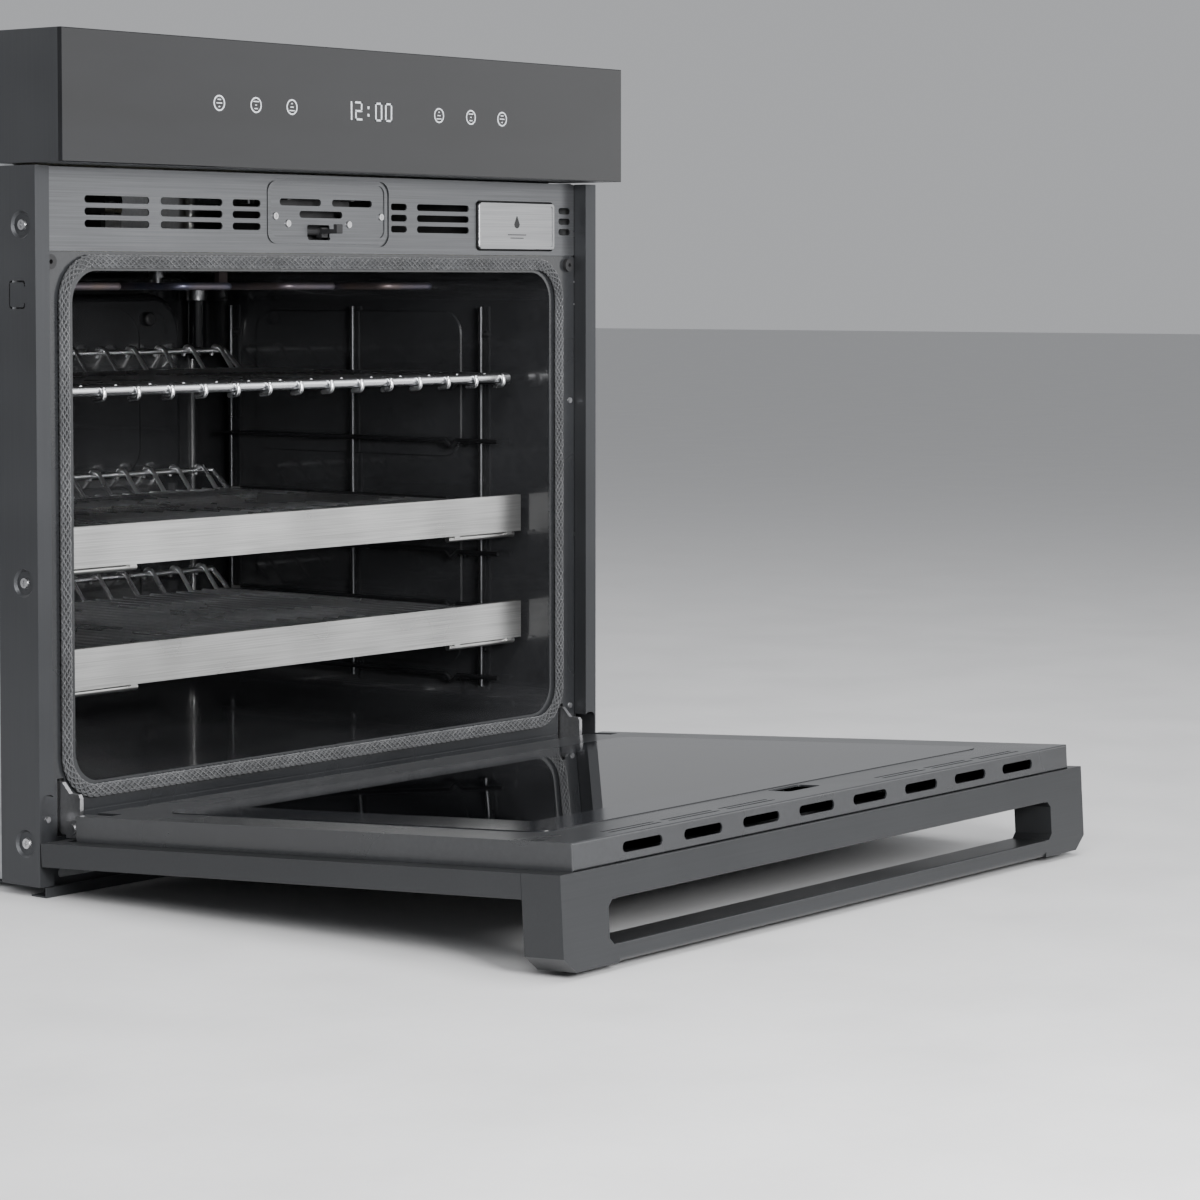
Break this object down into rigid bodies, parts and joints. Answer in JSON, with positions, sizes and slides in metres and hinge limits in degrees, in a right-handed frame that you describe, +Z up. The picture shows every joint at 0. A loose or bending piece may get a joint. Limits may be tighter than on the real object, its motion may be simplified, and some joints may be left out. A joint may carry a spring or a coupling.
{
  "type": "wall oven",
  "caption": "Built-in wall oven with a drop-down door, frame handle, pull-out racks on rails and a water tank for steam.",
  "frame": {"origin": "under the base skids at mid width, in the plane of the side trims' front faces", "axes": "+X to the right seen from the front, +Y into the oven, +Z up"},
  "size_m": [0.756, 1.1833, 0.735],
  "materials": {
    "black_stainless": "satin graphite coat over brushed steel",
    "brushed_stainless": "fine level brush",
    "chrome_wire": "bright plated wire",
    "dark_enamel": "glossy vitreous enamel",
    "black_glass": "polished dark glass",
    "clear_glass": "clear",
    "galvanised_sheet": "zinc coated",
    "bright_steel": "plain bright steel",
    "heater_tube": "heat-darkened steel tube",
    "woven_gasket": "braided glass cord",
    "glass_wool": "soft matte",
    "black_plastic": "moulded",
    "tank_plastic": "translucent moulded"
  },
  "bodies": {
    "chassis": {"side_trim_left": "black_stainless", "side_trim_right": "black_stainless", "casing_screws": "bright_steel", "front_frame": "dark_enamel", "cavity_gasket": "woven_gasket", "door_bumpers": "bright_steel", "upper_vent_panel": "black_stainless", "latch_plate": "black_stainless", "latch_motor": "galvanised_sheet", "side_panels": "galvanised_sheet", "rear_panel": "galvanised_sheet", "top_cover": "galvanised_sheet", "base_pan": "galvanised_sheet", "bottom_vent_trim": "galvanised_sheet", "junction_box": "galvanised_sheet", "control_housing": "black_stainless", "control_glass": "black_glass", "control_board": "black_plastic", "cavity_liner": "dark_enamel", "cavity_insulation": "glass_wool", "fan_cover": "dark_enamel", "fan_cover_knobs": "bright_steel", "ring_heater": "heater_tube", "fan_motor": "black_plastic", "broil_element": "heater_tube", "bake_element": "heater_tube", "corner_lamps": "black_glass", "lamp_caps": "bright_steel", "temperature_probe": "bright_steel", "rack_ladders": "chrome_wire", "fixed_rails": "galvanised_sheet", "tank_housing": "galvanised_sheet", "steam_boiler": "bright_steel", "blower_housing": "galvanised_sheet", "blower_motor": "black_plastic", "hinge_arms": "bright_steel", "hinge_receivers": "bright_steel"},
    "door": {"door_outer_frame": "black_stainless", "door_outer_glass": "black_glass", "door_liner": "dark_enamel", "door_inner_glass": "black_glass", "door_middle_glass": "clear_glass", "handle_band": "black_stainless", "handle_bar": "black_stainless", "handle_ends": "black_stainless", "hinge_channels": "bright_steel", "door_springs": "bright_steel"},
    "spring_rods": {"spring_rods": "bright_steel"},
    "latch_hook": {"latch_hook": "black_plastic"},
    "convection_fan": {"convection_fan": "bright_steel"},
    "blower_wheel": {"blower_wheel": "black_plastic"},
    "water_tank": {"water_tank": "tank_plastic", "tank_cover": "brushed_stainless"},
    "rack_top": {"rack_top": "chrome_wire"},
    "rack_mid": {"rack_mid": "chrome_wire", "rack_mid_trim": "brushed_stainless"},
    "rack_low": {"rack_low": "chrome_wire", "rack_low_trim": "brushed_stainless"},
    "sliding_rails_mid": {"sliding_rails_mid": "galvanised_sheet"},
    "sliding_rails_low": {"sliding_rails_low": "galvanised_sheet"}
  },
  "joints": [
    {"name": "door_hinge", "type": "hinge", "parent": "chassis", "child": "door", "pos_m": [0, -0.005, 0.0565], "axis": [-1, 0, 0], "range_deg": [0, 86.7]},
    {"name": "spring_rod_slide", "type": "slide", "parent": "door", "child": "spring_rods", "axis": [0, -0.9983, 0.0576], "range_m": [0, 0.0182]},
    {"name": "latch_swing", "type": "hinge", "parent": "chassis", "child": "latch_hook", "pos_m": [0, 0.022, 0.5696], "axis": [-1, 0, 0], "range_deg": [0, 22]},
    {"name": "convection_fan_spin", "type": "hinge", "parent": "chassis", "child": "convection_fan", "pos_m": [0, 0.5, 0.312], "axis": [0, 1, 0], "continuous": true},
    {"name": "blower_spin", "type": "hinge", "parent": "chassis", "child": "blower_wheel", "pos_m": [0, 0.35, 0.6], "axis": [1, 0, 0], "continuous": true},
    {"name": "tank_slide", "type": "slide", "parent": "chassis", "child": "water_tank", "axis": [0, 1, 0], "range_m": [-0.28, 0]},
    {"name": "rack_top_slide", "type": "slide", "parent": "chassis", "child": "rack_top", "axis": [0, 1, 0], "range_m": [-0.3, 0]},
    {"name": "rack_mid_slide", "type": "slide", "parent": "chassis", "child": "rack_mid", "axis": [0, 1, 0], "range_m": [-0.36, 0]},
    {"name": "rack_low_slide", "type": "slide", "parent": "chassis", "child": "rack_low", "axis": [0, 1, 0], "range_m": [-0.36, 0]},
    {"name": "rail_mid_slide", "type": "slide", "parent": "chassis", "child": "sliding_rails_mid", "axis": [0, 1, 0], "range_m": [-0.1801, 0]},
    {"name": "rail_low_slide", "type": "slide", "parent": "chassis", "child": "sliding_rails_low", "axis": [0, 1, 0], "range_m": [-0.1801, 0]}
  ],
  "couplings": [
    {"joint": "spring_rod_slide", "follows": "door_hinge", "m_per_rad": 0.0119},
    {"joint": "rail_mid_slide", "follows": "rack_mid_slide", "ratio": 0.5},
    {"joint": "rail_low_slide", "follows": "rack_low_slide", "ratio": 0.5}
  ]
}
